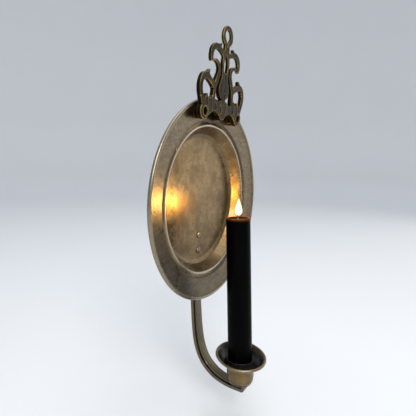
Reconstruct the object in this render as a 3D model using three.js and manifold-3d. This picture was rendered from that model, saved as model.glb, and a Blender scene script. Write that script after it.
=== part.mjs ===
// Wall sconce candle holder: a round reflector plate with a cast openwork crest above it, and a
// double-strap arm below it that carries a candle socket and drip pan.
// Millimetres, +Z up. The plate faces -Y and the wall is on the +Y side.
// The design is drawn about the plate's centre, with y = 0 at the front of the rim, and the whole
// group is then moved so that the origin is the seat of the hanger's keyhole.

import * as THREE from 'three';
import { mergeVertices } from 'three/addons/utils/BufferGeometryUtils.js';
import Module from 'manifold-3d';

const wasm = await Module();
wasm.setup();

// ---- Driving dimensions ----

const GAP = 0.3; // clearance between pieces that touch

const PLATE_RADIUS = 98;
const PLATE_SHEET = 1.2;
const RIM_BEAD = 1.9; // radius of the rolled rim
const RIM_BEAD_Y = 0.2; // the brim rises towards the room as far as the rim
const LEDGE_RADIUS = 76.8; // small step between brim and well edge
const WELL_EDGE_RADIUS = 72.6;
const WELL_FLOOR_RADIUS = 64.8;
const WELL_DEPTH = 15;
const PLATE_SEGMENTS = 64;

const CREST_FRONT = -8.3; // y of the crest's front face at the height of its end lobes
const CREST_THICK = 4.4;
const CREST_TOP_THICK = 2.2;
const CREST_TAPER_FROM = 100; // height above which the casting gets thinner
const CREST_LEAN = 3.3; // degrees, towards the room
const CREST_TOP = 162;
const LOBE_X = 31.8; // end lobes of the crest's base, with their eyes
const LOBE_Z = 82;
const LOBE_RADIUS = 7.2;
const EYE_RADIUS = 3.5;
const MIDDLE_LOBE_Z = 83.5;
const MIDDLE_LOBE_RADIUS = 6.4;
const LUG_RADIUS = 6.2;
const RIVET_RADIUS = 1.6;

const ARM_WIDTH = 10.2;
const FRONT_STRAP = 1.3;
const REAR_STRAP = 3.2;
const STRAP_GAP = 2;
const ARM_TOP = -28;
const ARM_BULGE = 0.7; // how much further apart the straps stand in the middle of the sweep
const ARM_NOSE = 2.4; // from the socket's axis forwards to the middle of the rounded nose
const ARM_RIVETS = { upper: -37, lower: -53 };

const CANDLE_Y = -37; // foot of the socket, on the arm's top face
const ARM_TOP_FACE_Z = -177;
const CANDLE_LEAN = 3.1; // degrees that the arm's end, socket and candle lean back
const SOCKET_RADIUS = 12.8;
const SOCKET_WALL = 0.8;
const SOCKET_TOP = -151.5;
const PAN_RADIUS = 24.1;
const PAN_RIM_Z = -148.8;
const PAN_BEAD = 1.3;
const PAN_TILT_FORWARD = 3; // degrees from level: the old pan sits a little askew
const PAN_TILT_SIDE = 4;

const CANDLE_TOP = -14;
const CANDLE_FOOT = -166.5;
const CANDLE_RADIUS = 11.35;
const CANDLE_FOOT_RADIUS = 11.6;
const WICK_RADIUS = 0.8;

const HANGER_WIDTH = 22;
const HANGER_SHEET = 1.5;
const HANGER_FOOT_Z = 28;
const HANGER_BEND_Z = 42;
const HANGER_TOP_Z = 68;
const KEYHOLE_Z = 54;
const KEYHOLE_RADIUS = 4.2;
const KEYHOLE_SLOT_RADIUS = 2.2;
const KEYHOLE_SEAT_Z = 61.5;

// ---- Places that follow from them ----

const WELL_BACK = WELL_DEPTH + PLATE_SHEET;
const SPINE_Y = WELL_BACK + GAP + FRONT_STRAP + STRAP_GAP / 2; // arm's middle behind the well
const WALL_Y = SPINE_Y + STRAP_GAP / 2 + REAR_STRAP; // the plane that lies on the wall
const SOCKET_FOOT = ARM_TOP_FACE_Z + GAP;
const HANGER_PLATE_Y = WALL_Y - HANGER_SHEET;

// ---- Materials ----

const metal = (color, roughness) => new THREE.MeshStandardMaterial({ color, roughness, metalness: 1 });
const agedPewter = metal(0x8c8272, 0.42);
const darkBronze = metal(0x4a3c24, 0.45);
const strapBrass = metal(0x7a7058, 0.45);
const rivetBrass = metal(0x8a7a58, 0.4);
const blackWax = new THREE.MeshStandardMaterial({ color: 0x0c0c0e, roughness: 0.4, metalness: 0 });
const charredCotton = new THREE.MeshStandardMaterial({ color: 0x1a1512, roughness: 0.95, metalness: 0 });

// ---- Solids from three.js geometry ----

// A geometry with merged corners becomes a solid; triangles that fold to a line on a lathe's
// axis are left out, and the faces are turned outwards.
function solid(geometry) {
  const bare = geometry.clone();
  bare.deleteAttribute('normal');
  bare.deleteAttribute('uv');
  const merged = mergeVertices(bare, 1e-4);
  const points = merged.attributes.position.array;
  const corners = [];
  let volume = 0;
  for (let i = 0; i < merged.index.count; i += 3) {
    const [a, b, c] = [0, 1, 2].map((k) => merged.index.getX(i + k));
    if (a === b || b === c || c === a) continue;
    corners.push([a, b, c]);
    const [p, q, r] = [a, b, c].map((k) => new THREE.Vector3().fromArray(points, 3 * k));
    volume += p.dot(q.cross(r));
  }
  const turned = volume < 0 ? corners.map(([a, b, c]) => [a, c, b]) : corners;
  const triVerts = new Uint32Array(turned.flat());
  return new wasm.Manifold(new wasm.Mesh({ numProp: 3, vertProperties: points, triVerts }));
}

function geometryOf(manifold) {
  const mesh = manifold.getMesh();
  const geometry = new THREE.BufferGeometry();
  geometry.setAttribute('position', new THREE.BufferAttribute(mesh.vertProperties, 3));
  geometry.setIndex(new THREE.BufferAttribute(mesh.triVerts, 1));
  geometry.computeVertexNormals();
  return geometry;
}

// A closed profile of [radius, height] points turned about the Y axis.
function turned(profile, segments) {
  const points = profile.map(([radius, height]) => new THREE.Vector2(radius, height));
  return new THREE.LatheGeometry(points, segments);
}

// The same about the candle's axis, with heights as z before it leans.
function turnedOnCandleAxis(profile, segments) {
  return leanBack(turned(profile, segments).rotateX(Math.PI / 2).translate(0, CANDLE_Y, 0));
}

// An outline in the X-Z plane made solid from y = front to y = back.
function wallPlate(shape, front, back) {
  const options = { depth: back - front, bevelEnabled: false, curveSegments: 8 };
  return new THREE.ExtrudeGeometry(shape, options).rotateX(Math.PI / 2).translate(0, back, 0);
}

// An outline in the Y-Z plane made solid across X, centred.
function crossStrap(points, width) {
  const shape = new THREE.Shape(points.map(([y, z]) => new THREE.Vector2(y, z)));
  const geometry = new THREE.ExtrudeGeometry(shape, { depth: width, bevelEnabled: false });
  const toWorld = new THREE.Matrix4().makeBasis(
    new THREE.Vector3(0, 1, 0),
    new THREE.Vector3(0, 0, 1),
    new THREE.Vector3(1, 0, 0),
  );
  return geometry.translate(0, 0, -width / 2).applyMatrix4(toWorld);
}

// A plain round bar along Y at (x, z), used for bosses and as a drill.
function roundAlongY(radius, front, back, x, z, segments = 20) {
  const bar = new THREE.CylinderGeometry(radius, radius, back - front, segments);
  return bar.translate(x, (front + back) / 2, z);
}

const barAlongY = (...sizes) => solid(roundAlongY(...sizes));

// A round bar on the candle's axis, which leans with it.
function barOnCandleAxis(radius, low, high, segments = 20) {
  const bar = new THREE.CylinderGeometry(radius, radius, high - low, segments);
  return solid(leanBack(bar.rotateX(Math.PI / 2).translate(0, CANDLE_Y, (low + high) / 2)));
}

// Turns a geometry about a line along X through (y, z); a positive angle tips its top to the room.
function tipped(geometry, degrees, y, z) {
  return geometry.translate(0, -y, -z).rotateX(THREE.MathUtils.degToRad(degrees)).translate(0, y, z);
}

const leanBack = (geometry) => tipped(geometry, -CANDLE_LEAN, CANDLE_Y, ARM_TOP_FACE_Z);
const leanForward = (geometry) => tipped(geometry, CREST_LEAN, CREST_FRONT, LOBE_Z);

function arc(centre, radius, from, to, steps) {
  const points = [];
  for (let i = 0; i <= steps; i += 1) {
    const angle = THREE.MathUtils.degToRad(from + ((to - from) * i) / steps);
    points.push([centre[0] + radius * Math.cos(angle), centre[1] + radius * Math.sin(angle)]);
  }
  return points;
}

const sconce = new THREE.Group();

function add(name, shape, material) {
  const mesh = new THREE.Mesh(shape instanceof THREE.BufferGeometry ? shape : geometryOf(shape), material);
  mesh.name = name;
  sconce.add(mesh);
  return mesh;
}

// ---- Reflector plate: one spun sheet with a rolled rim ----

const beadRadius = PLATE_RADIUS - RIM_BEAD;
const brimOuter = [beadRadius - 1.6, RIM_BEAD_Y - 0.6];
const brimMiddle = [(LEDGE_RADIUS + brimOuter[0]) / 2, 1.3];
const brimInner = [LEDGE_RADIUS, 2.5];

function reflectorPlate() {
  const front = [
    [0, WELL_DEPTH],
    [WELL_FLOOR_RADIUS - 3, WELL_DEPTH],
    [WELL_FLOOR_RADIUS - 0.6, WELL_DEPTH - 0.8],
    [WELL_FLOOR_RADIUS + 1.2, WELL_DEPTH - 3],
    [WELL_EDGE_RADIUS - 2.4, 5.4],
    [WELL_EDGE_RADIUS - 1, 3.4],
    [WELL_EDGE_RADIUS, 2.7],
    [WELL_EDGE_RADIUS + 1.2, 3],
    [LEDGE_RADIUS - 1, 3.7],
    brimInner,
    brimMiddle,
    brimOuter,
  ];
  const bead = arc([beadRadius, RIM_BEAD_Y], RIM_BEAD, 240, 440, 8);
  const back = front
    .slice()
    .reverse()
    .map(([radius, y]) => [radius, y + PLATE_SHEET * (radius > WELL_FLOOR_RADIUS && radius < 71 ? 1.6 : 1)]);
  back[0] = [brimOuter[0] - 0.4, brimOuter[1] + PLATE_SHEET + 0.6];
  let plate = solid(turned([...front, ...bead, ...back], PLATE_SEGMENTS));
  for (const side of [-1, 1]) {
    plate = plate.subtract(barAlongY(RIVET_RADIUS + GAP, -5, 8, side * LOBE_X, LOBE_Z, 16));
  }
  plate = plate.subtract(barAlongY(RIVET_RADIUS + GAP, -5, 8, 0, MIDDLE_LOBE_Z, 16));
  for (const z of Object.values(ARM_RIVETS)) {
    plate = plate.subtract(barAlongY(RIVET_RADIUS + GAP, 10, 20, 0, z, 16));
  }
  return plate;
}

add('reflector_plate', reflectorPlate(), agedPewter);

// ---- Crest: a cast openwork plate of paired scrolls on three lugs ----

// A band that follows a smooth line; each point is [x, z, half width].
function band(points, steps = 9) {
  const line = new THREE.CatmullRomCurve3(points.map(([x, z, half]) => new THREE.Vector3(x, z, half)));
  const left = [];
  const right = [];
  for (let i = 0; i <= steps; i += 1) {
    const at = line.getPoint(i / steps);
    const along = line.getTangent(i / steps).setZ(0).normalize();
    left.push(new THREE.Vector2(at.x - along.y * at.z, at.y + along.x * at.z));
    right.push(new THREE.Vector2(at.x + along.y * at.z, at.y - along.x * at.z));
  }
  return new THREE.Shape([...left, ...right.reverse()]);
}

const mirrored = (points) => points.map(([x, ...rest]) => [-x, ...rest]);

const crestBands = {
  lowerScroll: [
    [32, 86, 4.2], [37.2, 93.5, 2.6], [39.8, 100.5, 2.4], [39.4, 106.5, 2.5], [36, 111.3, 2.9],
    [30.5, 112.2, 2.9], [25, 109.8, 2.5], [20.4, 107, 2.2], [17.4, 103.6, 1.8],
  ],
  lowerTip: [[32.2, 112, 2.4], [29.4, 115.2, 1.8], [27.8, 118, 0.5]],
  innerBump: [[30.4, 90, 3], [30, 94, 2.1], [29.4, 97.4, 0.7]],
  stem: [
    [18.4, 89, 3], [17.4, 99, 2.1], [16.8, 106, 2.3], [13.6, 112.8, 2.4], [11.2, 118.4, 2.1],
    [11.4, 123.2, 1.9], [14.4, 126.8, 1.7], [18.8, 128, 1.2], [22, 127.4, 0.5],
  ],
  upperScroll: [
    [2, 134, 1.8], [7, 137, 2.1], [13.5, 139.4, 2.3], [19.5, 139.8, 2.5], [24.6, 136, 2.5], [26, 130.5, 2.2],
    [25, 125.6, 1.5],
  ],
  upperTip: [[15.4, 139.6, 2.3], [12.6, 141.8, 1.7], [10.6, 143.8, 0.5]],
  trunk: [
    [4, 117, 1.8], [4.8, 124, 1.2], [4.6, 131, 1.5], [2.6, 137, 2.3], [2.2, 142, 2], [2.8, 146.8, 1.8],
  ],
};

function crestOutlineShapes() {
  const shapes = [];
  for (const points of Object.values(crestBands)) {
    shapes.push(band(points), band(mirrored(points)));
  }

  const leaf = new THREE.Shape();
  leaf.moveTo(0, 93);
  leaf.bezierCurveTo(2, 98, 9.8, 100, 9.4, 105);
  leaf.bezierCurveTo(8.8, 110, 6, 112, 5.2, 120);
  leaf.quadraticCurveTo(2.4, 120.4, 0, 123.6);
  leaf.quadraticCurveTo(-2.4, 120.4, -5.2, 120);
  leaf.bezierCurveTo(-6, 112, -8.8, 110, -9.4, 105);
  leaf.bezierCurveTo(-9.8, 100, -2, 98, 0, 93);

  const ring = new THREE.Shape();
  ring.moveTo(-3.2, 144.6);
  ring.quadraticCurveTo(-5, 147.6, -8.4, 148.6);
  ring.bezierCurveTo(-10.6, 155, -6.8, CREST_TOP, 0, CREST_TOP);
  ring.bezierCurveTo(6.8, CREST_TOP, 10.6, 155, 8.4, 148.6);
  ring.quadraticCurveTo(5, 147.6, 3.2, 144.6);
  ring.closePath();
  const eye = new THREE.Path();
  eye.moveTo(0, 146.6);
  eye.bezierCurveTo(4, 149.4, 6.8, 153.6, 3.4, 156.8);
  eye.quadraticCurveTo(0, 158.8, -3.4, 156.8);
  eye.bezierCurveTo(-6.8, 153.6, -4, 149.4, 0, 146.6);
  ring.holes.push(eye);

  // The base: a band with peaks on its top edge and an arch each side of the middle lobe.
  const base = new THREE.Shape();
  base.moveTo(-LOBE_X, LOBE_Z + 2);
  base.lineTo(-35, 90);
  base.lineTo(-27, 93.6);
  base.lineTo(-21.4, 96);
  base.lineTo(-12.4, 91.4);
  base.lineTo(-6, 94.6);
  base.lineTo(0, 96.6);
  base.lineTo(6, 94.6);
  base.lineTo(12.4, 91.4);
  base.lineTo(21.4, 96);
  base.lineTo(27, 93.6);
  base.lineTo(35, 90);
  base.lineTo(LOBE_X, LOBE_Z + 2);
  base.lineTo(LOBE_X - 6, LOBE_Z - 3.4);
  base.quadraticCurveTo(16, 88, 5.6, MIDDLE_LOBE_Z - 3);
  base.lineTo(-5.6, MIDDLE_LOBE_Z - 3);
  base.quadraticCurveTo(-16, 88, -LOBE_X + 6, LOBE_Z - 3.4);
  base.closePath();

  return [...shapes, leaf, ring, base];
}

// What the lugs must stay clear of: the brim and the ledge, with the usual gap.
function brimClearance() {
  const profile = [
    [LEDGE_RADIUS - 3, brimInner[1] - GAP],
    [LEDGE_RADIUS, brimInner[1] - GAP],
    [brimMiddle[0], brimMiddle[1] - GAP],
    [brimOuter[0], brimOuter[1] - GAP],
    [PLATE_RADIUS, RIM_BEAD_Y - RIM_BEAD - GAP],
    [PLATE_RADIUS, WELL_DEPTH],
    [LEDGE_RADIUS - 3, WELL_DEPTH],
    [LEDGE_RADIUS - 3, brimInner[1] - GAP],
  ];
  return solid(turned(profile, PLATE_SEGMENTS));
}

// Above its lower scrolls the casting thins out from behind.
function backTaper() {
  const back = CREST_FRONT + CREST_THICK;
  const wedge = [
    [back, CREST_TAPER_FROM],
    [CREST_FRONT + CREST_TOP_THICK, CREST_TOP + 1],
    [back + 2, CREST_TOP + 1],
    [back + 2, CREST_TAPER_FROM],
  ];
  return solid(crossStrap(wedge, 4 * LOBE_X));
}

function crest() {
  const back = CREST_FRONT + CREST_THICK;
  const lobes = [
    [-LOBE_X, LOBE_Z, LOBE_RADIUS],
    [LOBE_X, LOBE_Z, LOBE_RADIUS],
    [0, MIDDLE_LOBE_Z, MIDDLE_LOBE_RADIUS],
  ];
  const parts = [
    ...crestOutlineShapes().map((shape) => solid(wallPlate(shape, CREST_FRONT, back))),
    ...lobes.map(([x, z, radius]) => barAlongY(radius, CREST_FRONT, back, x, z, 28)),
  ];
  const upright = parts.reduce((whole, part) => whole.add(part)).subtract(backTaper());
  let cast = solid(leanForward(geometryOf(upright)));
  for (const [x, z] of lobes) {
    cast = cast.add(barAlongY(LUG_RADIUS, back - 1, brimInner[1], x, z, 28).subtract(brimClearance()));
    cast = cast.subtract(barAlongY(RIVET_RADIUS + GAP, back + 1, WELL_DEPTH, x, z, 16));
  }
  for (const side of [-1, 1]) {
    const eye = roundAlongY(EYE_RADIUS, CREST_FRONT - 1, back, side * LOBE_X, LOBE_Z);
    cast = cast.subtract(solid(leanForward(eye)));
    cast = cast.subtract(barAlongY(RIVET_RADIUS + GAP, back - 1, back + 2, side * LOBE_X, LOBE_Z, 16));
  }
  return cast;
}

add('crest', crest(), darkBronze);

// ---- Fasteners along Y: a shank with a domed head at the front and a smaller one behind ----

// Heads are [radius, height]; a head of radius 0 is left out.
function rivetAlongY(front, back, frontHead, backHead, x, z) {
  const profile = [[0, front - frontHead[1]]];
  if (frontHead[0] > 0) {
    profile.push([frontHead[0] * 0.62, front - frontHead[1] * 0.78]);
    profile.push([frontHead[0], front - frontHead[1] * 0.15]);
    profile.push([frontHead[0], front]);
  }
  profile.push([RIVET_RADIUS, front]);
  profile.push([RIVET_RADIUS, back]);
  if (backHead[0] > 0) {
    profile.push([backHead[0], back]);
    profile.push([backHead[0], back + backHead[1] * 0.3]);
    profile.push([backHead[0] * 0.62, back + backHead[1] * 0.85]);
  }
  profile.push([0, back + backHead[1]]);
  return solid(turned(profile, 16).translate(x, 0, z));
}

// Rear heads stand clear of the sloping back of the brim.
const brimBack = (radius) => {
  const share = (radius - LEDGE_RADIUS) / (brimOuter[0] - LEDGE_RADIUS);
  return brimInner[1] + (brimOuter[1] - brimInner[1]) * share + PLATE_SHEET + 1.1;
};
const eyeFloor = CREST_FRONT + CREST_THICK - GAP - 0.2;
for (const [side, name] of [[-1, 'left'], [1, 'right']]) {
  const behind = brimBack(Math.hypot(LOBE_X, LOBE_Z));
  add(
    `crest_rivet_${name}`,
    rivetAlongY(eyeFloor, behind, [2.8, 1.6], [3.2, 1.5], side * LOBE_X, LOBE_Z),
    rivetBrass,
  );
}
const pinFront = CREST_FRONT + CREST_THICK + 1 + GAP;
const middlePin = rivetAlongY(pinFront, brimBack(MIDDLE_LOBE_Z), [0, 0], [3.2, 1.5], 0, MIDDLE_LOBE_Z);
add('crest_pin_middle', middlePin, rivetBrass);

// ---- Arm: a thin front strap and a thick rear strap, a gap apart, joined round the tip ----

// A point at the arm's end as [y, z], from the middle of the top face below the socket.
const lean = THREE.MathUtils.degToRad(CANDLE_LEAN);
const atEnd = (forward, up) => [
  CANDLE_Y - forward * Math.cos(lean) + up * Math.sin(lean),
  ARM_TOP_FACE_Z + forward * Math.sin(lean) + up * Math.cos(lean),
];
const capRadius = (FRONT_STRAP + STRAP_GAP + REAR_STRAP) / 2;
const gapMiddle = -FRONT_STRAP - STRAP_GAP / 2;
const gapEnd = ARM_NOSE + 0.7;

// The middle of the gap, as [y, z]: straight behind the well, then one long sweep forwards.
const sweep = new THREE.CatmullRomCurve3(
  [
    [SPINE_Y, -70], [15.6, -106], [13.2, -134], [9.6, -153], [2.8, -166.6], [-8, -175.4], [-19, -178.9],
    atEnd(-8, gapMiddle),
  ].map(([y, z]) => new THREE.Vector3(0, y, z)),
);

function spineSamples() {
  const samples = [
    { y: SPINE_Y, z: ARM_TOP, ny: 1, nz: 0, bulge: 0 },
    { y: SPINE_Y, z: -64, ny: 1, nz: 0, bulge: 0 },
  ];
  const steps = 26;
  const endTangent = new THREE.Vector3(0, -Math.cos(lean), Math.sin(lean));
  for (let i = 0; i <= steps; i += 1) {
    const share = i / steps;
    const at = sweep.getPointAt(share);
    const along = i < steps ? sweep.getTangentAt(share) : endTangent;
    const bulge = ARM_BULGE * Math.sin(Math.PI * share) ** 2;
    samples.push({ y: at.y, z: at.z, ny: -along.z, nz: along.y, bulge });
  }
  return samples;
}

const spine = spineSamples();
const offset = (distance, spread = 0) =>
  spine.map(({ y, z, ny, nz, bulge }) => {
    const reach = distance - spread * bulge;
    return [y + ny * reach, z + nz * reach];
  });

function frontStrap() {
  const near = offset(-STRAP_GAP / 2 - FRONT_STRAP, 1);
  const far = offset(-STRAP_GAP / 2, 1);
  const end = gapEnd - GAP;
  return solid(crossStrap([...near, atEnd(end, 0), atEnd(end, -FRONT_STRAP), ...far.reverse()], ARM_WIDTH));
}

// The rear strap ends in a rounded nose as high as both straps, which closes the gap.
function rearStrap() {
  const inner = offset(STRAP_GAP / 2);
  const outer = offset(STRAP_GAP / 2 + REAR_STRAP);
  const noseArc = arc([ARM_NOSE, -capRadius], capRadius, 76, -90, 12);
  const nose = noseArc.map(([forward, up]) => atEnd(forward, up));
  const root = atEnd(gapEnd, -FRONT_STRAP - STRAP_GAP);
  return solid(crossStrap([...inner, root, ...nose, ...outer.reverse()], ARM_WIDTH));
}

const armDrill = RIVET_RADIUS + GAP;
const counterbore = 3.1;
const counterboreDepth = 1.2;

function drilled(strap) {
  let cut = strap.subtract(barOnCandleAxis(armDrill, ARM_TOP_FACE_Z - 12, ARM_TOP_FACE_Z + 4, 16));
  for (const z of Object.values(ARM_RIVETS)) {
    cut = cut.subtract(barAlongY(armDrill, WELL_BACK - 2, WALL_Y + 2, 0, z, 16));
    cut = cut.subtract(barAlongY(counterbore, WALL_Y - counterboreDepth, WALL_Y + 2, 0, z, 20));
  }
  return cut;
}

add('arm_front_strap', drilled(frontStrap()), strapBrass);
add('arm_rear_strap', drilled(rearStrap()), strapBrass);

// Washers keep the straps apart at each rivet.
const washerRadius = 3.6;
const washerFront = SPINE_Y - STRAP_GAP / 2 + GAP;
const washerBack = SPINE_Y + STRAP_GAP / 2 - GAP;
for (const [name, z] of Object.entries(ARM_RIVETS)) {
  const bore = barAlongY(armDrill, washerFront - 1, washerBack + 1, 0, z, 16);
  const washer = barAlongY(washerRadius, washerFront, washerBack, 0, z).subtract(bore);
  add(`arm_washer_${name}`, washer, rivetBrass);
  const rivet = rivetAlongY(WELL_DEPTH - GAP, WALL_Y - counterboreDepth + GAP, [3.2, 1.5], [2.8, 0.7], 0, z);
  add(`arm_rivet_${name}`, rivet, rivetBrass);
}
const tipGap = [ARM_TOP_FACE_Z - FRONT_STRAP - STRAP_GAP + GAP, ARM_TOP_FACE_Z - FRONT_STRAP - GAP];
const tipBore = barOnCandleAxis(armDrill, tipGap[0] - 1, tipGap[1] + 1, 16);
const tipWasher = barOnCandleAxis(gapEnd - 2 * GAP, ...tipGap).subtract(tipBore);
add('arm_washer_tip', tipWasher, rivetBrass);

// ---- Socket, its rivet, and the drip pan ----

function socket() {
  const profile = [
    [armDrill, SOCKET_FOOT],
    [8.4, SOCKET_FOOT],
    [10.6, SOCKET_FOOT + 1.6],
    [12.1, SOCKET_FOOT + 4.6],
    [SOCKET_RADIUS, SOCKET_FOOT + 9],
    [SOCKET_RADIUS, SOCKET_TOP],
    [SOCKET_RADIUS - SOCKET_WALL, SOCKET_TOP],
    [SOCKET_RADIUS - SOCKET_WALL, SOCKET_FOOT + 9],
    [11.3, SOCKET_FOOT + 5],
    [9.9, SOCKET_FOOT + 2.4],
    [8, SOCKET_FOOT + 1],
    [armDrill, SOCKET_FOOT + 1],
    [armDrill, SOCKET_FOOT],
  ];
  return solid(turnedOnCandleAxis(profile, 36));
}

add('candle_socket', socket(), agedPewter);

const socketFloor = SOCKET_FOOT + 1 + GAP;
const armUnderside = ARM_TOP_FACE_Z - 2 * capRadius - GAP;
const socketRivet = [
  [0, armUnderside - 1],
  [1.8, armUnderside - 0.85],
  [2.9, armUnderside - 0.3],
  [2.9, armUnderside],
  [RIVET_RADIUS, armUnderside],
  [RIVET_RADIUS, socketFloor],
  [3.2, socketFloor],
  [3.2, socketFloor + 0.3],
  [2, socketFloor + 1.2],
  [0, socketFloor + 1.5],
];
add('socket_rivet', solid(turnedOnCandleAxis(socketRivet, 16)), rivetBrass);

// The pan's heights are measured from the middle of its collar, about which it tilts.
const collarDrop = 9;

function dripPan() {
  const collar = SOCKET_RADIUS + 0.75;
  const beadAt = PAN_RADIUS - PAN_BEAD;
  const profile = [
    [collar, -1.2],
    [collar + 0.9, -1.2],
    [collar + 1.4, 0.7],
    [18.2, 2.8],
    [20.9, 5.6],
    ...arc([beadAt, collarDrop], PAN_BEAD, -110, 130, 8),
    [20.6, 7.1],
    [17.6, 3.8],
    [collar + 0.4, 1.6],
    [collar, 0.8],
    [collar, -1.2],
  ];
  return solid(turned(profile, 32).rotateX(Math.PI / 2));
}

const pan = add('drip_pan', dripPan(), agedPewter);
const collarHeight = PAN_RIM_Z - collarDrop - ARM_TOP_FACE_Z;
pan.position.set(0, ...atEnd(0, collarHeight));
pan.rotation.set(THREE.MathUtils.degToRad(PAN_TILT_FORWARD), THREE.MathUtils.degToRad(-PAN_TILT_SIDE), 0);

// ---- Candle and wick ----

const wickHole = WICK_RADIUS + GAP;
const candleProfile = [
  [0, CANDLE_FOOT],
  [CANDLE_FOOT_RADIUS, CANDLE_FOOT],
  [CANDLE_RADIUS, CANDLE_TOP - 0.8],
  [CANDLE_RADIUS - 0.7, CANDLE_TOP],
  [CANDLE_RADIUS - 1.5, CANDLE_TOP - 0.5],
  [7.4, CANDLE_TOP - 1.7],
  [4, CANDLE_TOP - 2.2],
  [wickHole, CANDLE_TOP - 2.3],
  [wickHole, CANDLE_TOP - 9],
  [0, CANDLE_TOP - 9],
];
add('candle', solid(turnedOnCandleAxis(candleProfile, 36)), blackWax);

const wickLine = new THREE.CatmullRomCurve3([
  new THREE.Vector3(0, CANDLE_Y, CANDLE_TOP - 8.5),
  new THREE.Vector3(0, CANDLE_Y, CANDLE_TOP - 3),
  new THREE.Vector3(-0.1, CANDLE_Y, CANDLE_TOP + 0.5),
  new THREE.Vector3(-0.8, CANDLE_Y + 0.3, CANDLE_TOP + 3.8),
]);
const wickOutline = arc([0, 0], WICK_RADIUS, 0, 315, 7).map(([x, y]) => new THREE.Vector2(x, y));
const wickShape = new THREE.Shape(wickOutline);
const wickOptions = { steps: 8, bevelEnabled: false, extrudePath: wickLine };
const wick = leanBack(new THREE.ExtrudeGeometry(wickShape, wickOptions));
add('wick', solid(wick), charredCotton);

// ---- Hanger: a bent tab soldered to the back of the well, with a keyhole for the wall nail ----

function hangerTab() {
  const footFront = WELL_BACK + GAP;
  const outline = [
    [footFront, HANGER_FOOT_Z],
    [footFront, HANGER_BEND_Z + 0.6],
    [HANGER_PLATE_Y, HANGER_BEND_Z + 5.2],
    [HANGER_PLATE_Y, HANGER_TOP_Z],
    [WALL_Y, HANGER_TOP_Z],
    [WALL_Y, HANGER_BEND_Z + 4.6],
    [footFront + HANGER_SHEET, HANGER_BEND_Z],
    [footFront + HANGER_SHEET, HANGER_FOOT_Z],
  ];
  const slot = new THREE.Shape();
  slot.moveTo(-KEYHOLE_SLOT_RADIUS, KEYHOLE_Z);
  slot.lineTo(-KEYHOLE_SLOT_RADIUS, KEYHOLE_SEAT_Z);
  slot.absarc(0, KEYHOLE_SEAT_Z, KEYHOLE_SLOT_RADIUS, Math.PI, 0, true);
  slot.lineTo(KEYHOLE_SLOT_RADIUS, KEYHOLE_Z);
  slot.closePath();
  return solid(crossStrap(outline, HANGER_WIDTH))
    .subtract(barAlongY(KEYHOLE_RADIUS, HANGER_PLATE_Y - 1, WALL_Y + 1, 0, KEYHOLE_Z, 24))
    .subtract(solid(wallPlate(slot, HANGER_PLATE_Y - 1, WALL_Y + 1)));
}

add('hanger_tab', hangerTab(), rivetBrass);

// The origin is the keyhole's seat, on the wall plane.
sconce.position.set(0, -WALL_Y, -KEYHOLE_SEAT_Z);

export default sconce;
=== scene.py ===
"""Wall sconce candle holder: the visual model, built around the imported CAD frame.

Every length below is in millimetres in the plate's own frame (origin on the plate's axis, 23 mm in front of
the wall), and place() turns it into the row frame in metres.
"""

import math

import bmesh
import bpy
from mathutils import Matrix, Vector, noise


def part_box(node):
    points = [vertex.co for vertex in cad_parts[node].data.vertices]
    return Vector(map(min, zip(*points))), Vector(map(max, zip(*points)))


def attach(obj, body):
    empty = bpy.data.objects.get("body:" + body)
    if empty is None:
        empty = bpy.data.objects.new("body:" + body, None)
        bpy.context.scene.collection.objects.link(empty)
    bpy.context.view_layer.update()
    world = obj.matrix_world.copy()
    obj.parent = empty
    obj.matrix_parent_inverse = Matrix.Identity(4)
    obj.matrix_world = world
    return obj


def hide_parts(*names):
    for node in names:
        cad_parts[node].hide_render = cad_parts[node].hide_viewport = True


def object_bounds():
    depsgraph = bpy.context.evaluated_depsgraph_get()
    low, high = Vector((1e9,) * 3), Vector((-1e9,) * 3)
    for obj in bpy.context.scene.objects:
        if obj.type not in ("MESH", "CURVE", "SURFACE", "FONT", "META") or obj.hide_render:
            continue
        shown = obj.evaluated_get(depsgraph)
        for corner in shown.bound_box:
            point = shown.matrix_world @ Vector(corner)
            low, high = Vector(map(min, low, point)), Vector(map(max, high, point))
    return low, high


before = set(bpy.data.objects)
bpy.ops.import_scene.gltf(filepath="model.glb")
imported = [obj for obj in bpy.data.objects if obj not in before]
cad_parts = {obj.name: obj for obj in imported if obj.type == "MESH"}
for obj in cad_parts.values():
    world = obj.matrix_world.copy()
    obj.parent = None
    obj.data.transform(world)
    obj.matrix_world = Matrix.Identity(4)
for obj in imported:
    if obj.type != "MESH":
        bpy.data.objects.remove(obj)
cad_low, cad_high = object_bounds()

MM = 0.001
GAP = 0.3  # clearance between neighbouring pieces
plate_low, plate_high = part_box("reflector_plate")
WALL_Y = 23.0
PLATE = Vector(((plate_low.x + plate_high.x) / 2, -WALL_Y * MM, (plate_low.z + plate_high.z) / 2))
PLATE_RADIUS = (plate_high.z - plate_low.z) / 2 / MM


def place(x, y, z):
    """A point of the plate's frame, in millimetres, as a row-frame vector in metres."""
    return PLATE + Vector((x, y, z)) * MM


def local(point):
    """A row-frame point in metres, back in the plate's frame in millimetres."""
    return (point - PLATE) / MM


def tipped(x, y, z, degrees, pivot_y, pivot_z):
    """The point turned about a line along X; a positive angle tips its top towards the room."""
    a = math.radians(degrees)
    y, z = y - pivot_y, z - pivot_z
    turned_y = y * math.cos(a) - z * math.sin(a)
    turned_z = y * math.sin(a) + z * math.cos(a)
    return Vector((x, pivot_y + turned_y, pivot_z + turned_z))


CANDLE_Y, ARM_TOP_FACE_Z, CANDLE_LEAN = -37.0, -177.0, 3.1


def lean_back(x, y, z):
    """A point of the socket or candle, given as if they stood upright, with their lean."""
    return place(*tipped(x, y, z, -CANDLE_LEAN, CANDLE_Y, ARM_TOP_FACE_Z))


# ---------------------------------------------------------------- node materials


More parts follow.
